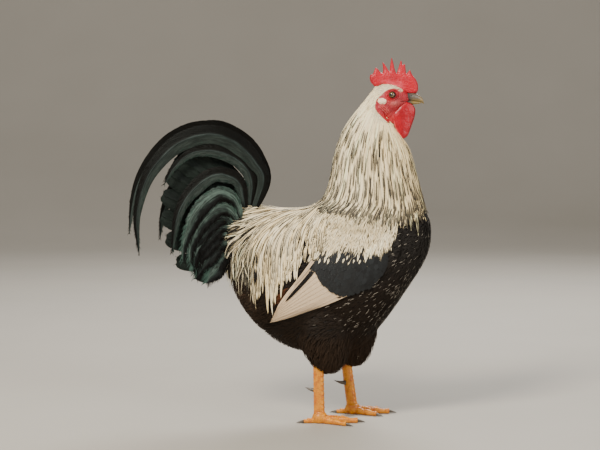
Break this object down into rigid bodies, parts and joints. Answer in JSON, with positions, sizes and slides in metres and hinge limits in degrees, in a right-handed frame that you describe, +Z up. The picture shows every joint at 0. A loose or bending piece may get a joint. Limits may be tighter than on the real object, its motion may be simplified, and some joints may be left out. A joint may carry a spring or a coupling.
{
  "type": "rooster",
  "caption": "Life-size standing rooster with white hackle and saddle, black breast, green-black sickle tail, upright single comb and yellow legs.",
  "frame": {"origin": "the middle of the bird's box, on the floor", "axes": "+Z up, +X towards the bill, +Y to the bird's left"},
  "size_m": [0.511, 0.1712, 0.6064],
  "materials": {
    "feathers_white": "creamy white feathers with dark shaft stripes",
    "feathers_black": "black body feathers, soft sheen",
    "feathers_green": "black tail feathers with a beetle-green sheen",
    "comb_red": "red, finely grained skin",
    "face_red": "red, wrinkled skin",
    "lobe_white": "white, smooth skin",
    "horn": "horn, from dark brown to yellow",
    "leg_yellow": "yellow-orange scales",
    "eye_amber": "wet gloss"
  },
  "bodies": {
    "root": {"bill_lower": "horn", "bill_upper": "horn", "claw_left_hind": "horn", "claw_left_inner": "horn", "claw_left_middle": "horn", "claw_left_outer": "horn", "claw_right_hind": "horn", "claw_right_inner": "horn", "claw_right_middle": "horn", "claw_right_outer": "horn", "comb": "comb_red", "ear_lobe_left": "lobe_white", "ear_lobe_right": "lobe_white", "eye_left": "eye_amber", "eye_right": "eye_amber", "foot_left": "leg_yellow", "foot_right": "leg_yellow", "head": "face_red", "neck": "feathers_white", "saddle": "feathers_white", "shank_left": "leg_yellow", "shank_right": "leg_yellow", "sickles_left": "feathers_green", "sickles_right": "feathers_green", "spur_left": "horn", "spur_right": "horn", "tail": "feathers_green", "tail_coverts_left": "feathers_green", "tail_coverts_right": "feathers_green", "thigh_left": "feathers_black", "thigh_right": "feathers_black", "torso": "feathers_black", "wattle_left": "comb_red", "wattle_right": "comb_red", "wing_left": "feathers_white", "wing_right": "feathers_white"}
  },
  "joints": []
}
